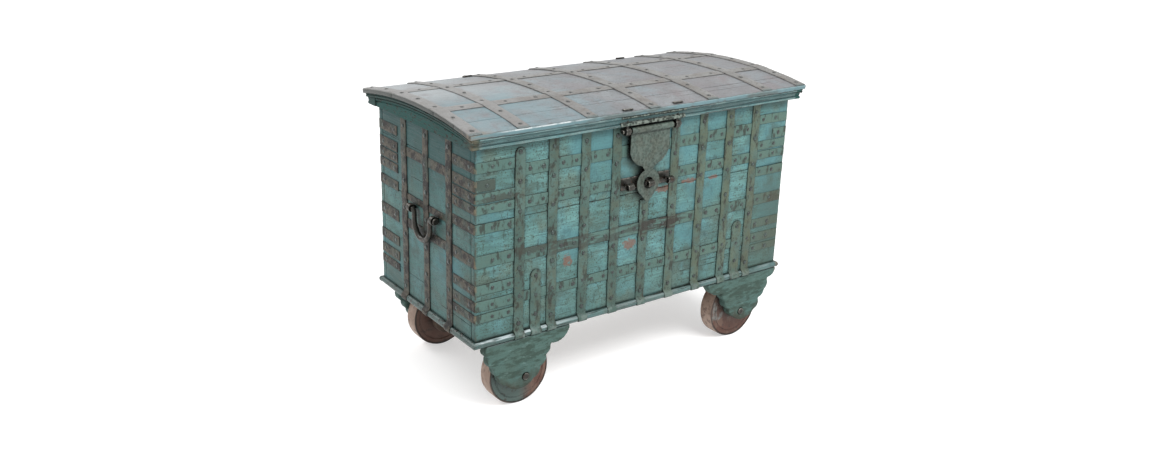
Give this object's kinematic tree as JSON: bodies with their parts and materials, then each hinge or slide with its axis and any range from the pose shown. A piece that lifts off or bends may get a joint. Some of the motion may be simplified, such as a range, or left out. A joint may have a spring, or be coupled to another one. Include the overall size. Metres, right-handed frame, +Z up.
{
  "type": "wooden chest",
  "caption": "Rectangular wooden storage chest with iron straps, a low domed hinged lid with a hasp, drop handles and wheels between carved brackets.",
  "frame": {"origin": "on the floor under the middle of the chest", "axes": "+X along the front to the right, the front faces -Y, +Z up"},
  "size_m": [1.22, 0.632, 0.875],
  "materials": {
    "body_paint": "worn turquoise paint over close-grained wood",
    "lid_paint": "faded grey-blue paint, satin",
    "moulding_paint": "worn turquoise paint, rubbed pale on the edges",
    "bare_wood": "old unpainted wood",
    "wheel_wood": "worn wood with remains of paint",
    "tyre_iron": "worn iron band with light rust",
    "painted_straps": "thin iron strap with worn green-grey paint",
    "lid_straps": "thin iron strap, greyed and rubbed",
    "hasp_iron": "hammered iron with worn paint",
    "dark_iron": "forged iron, worn bright on the high spots",
    "nails": "forged nail heads"
  },
  "bodies": {
    "chest": {"back_board_lower": "body_paint", "back_board_upper": "body_paint", "back_corner_straps": "painted_straps", "back_cross_straps": "painted_straps", "back_upright_straps": "painted_straps", "base_rail_back": "moulding_paint", "base_rail_front": "moulding_paint", "base_rail_left": "moulding_paint", "base_rail_right": "moulding_paint", "body_hinge_eyes": "dark_iron", "body_nails": "nails", "end_cross_straps": "painted_straps", "end_upright_straps": "painted_straps", "floor_boards": "bare_wood", "front_board_lower": "body_paint", "front_board_upper": "body_paint", "front_corner_straps": "painted_straps", "front_cross_straps": "painted_straps", "front_upright_straps": "painted_straps", "handle_eyes": "dark_iron", "left_board_lower": "body_paint", "left_board_upper": "body_paint", "lock_band": "dark_iron", "lock_eyes": "dark_iron", "right_board_lower": "body_paint", "right_board_upper": "body_paint", "wheel_axles": "dark_iron", "wheel_bracket_back_left": "moulding_paint", "wheel_bracket_back_right": "moulding_paint", "wheel_bracket_front_left": "moulding_paint", "wheel_bracket_front_right": "moulding_paint", "wheel_cheeks": "bare_wood"},
    "lid": {"hasp_eyes": "dark_iron", "hasp_pin": "dark_iron", "hasp_strip": "hasp_iron", "lid_board_back": "lid_paint", "lid_board_front": "lid_paint", "lid_board_middle": "lid_paint", "lid_board_second": "lid_paint", "lid_cross_straps": "lid_straps", "lid_end_left": "moulding_paint", "lid_end_right": "moulding_paint", "lid_hinge_eyes": "dark_iron", "lid_long_straps": "lid_straps", "lid_nails": "nails", "lid_rail_back": "moulding_paint", "lid_rail_front": "moulding_paint"},
    "hasp": {"hasp": "hasp_iron"},
    "left_handle": {"left_handle": "dark_iron"},
    "right_handle": {"right_handle": "dark_iron"},
    "wheel_front_left": {"wheel_front_left": "wheel_wood", "tyre_front_left": "tyre_iron"},
    "wheel_front_right": {"wheel_front_right": "wheel_wood", "tyre_front_right": "tyre_iron"},
    "wheel_back_left": {"wheel_back_left": "wheel_wood", "tyre_back_left": "tyre_iron"},
    "wheel_back_right": {"wheel_back_right": "wheel_wood", "tyre_back_right": "tyre_iron"}
  },
  "joints": [
    {"name": "lid_hinge", "type": "hinge", "parent": "chest", "child": "lid", "pos_m": [0, 0.296, 0.77], "axis": [-1, 0, 0], "range_deg": [0, 100]},
    {"name": "hasp_swing", "type": "hinge", "parent": "lid", "child": "hasp", "pos_m": [0, -0.3, 0.781], "axis": [-1, 0, 0], "range_deg": [0, 140]},
    {"name": "left_handle_swing", "type": "hinge", "parent": "chest", "child": "left_handle", "pos_m": [-0.59, -0.011, 0.54], "axis": [0, 1, 0], "range_deg": [0, 170]},
    {"name": "right_handle_swing", "type": "hinge", "parent": "chest", "child": "right_handle", "pos_m": [0.59, -0.011, 0.54], "axis": [0, -1, 0], "range_deg": [0, 170]},
    {"name": "wheel_front_left_spin", "type": "hinge", "parent": "chest", "child": "wheel_front_left", "pos_m": [-0.411, -0.226, 0.099], "axis": [0, 1, 0], "continuous": true},
    {"name": "wheel_front_right_spin", "type": "hinge", "parent": "chest", "child": "wheel_front_right", "pos_m": [0.433, -0.226, 0.099], "axis": [0, 1, 0], "continuous": true},
    {"name": "wheel_back_left_spin", "type": "hinge", "parent": "chest", "child": "wheel_back_left", "pos_m": [-0.411, 0.226, 0.099], "axis": [0, 1, 0], "continuous": true},
    {"name": "wheel_back_right_spin", "type": "hinge", "parent": "chest", "child": "wheel_back_right", "pos_m": [0.433, 0.226, 0.099], "axis": [0, 1, 0], "continuous": true}
  ]
}
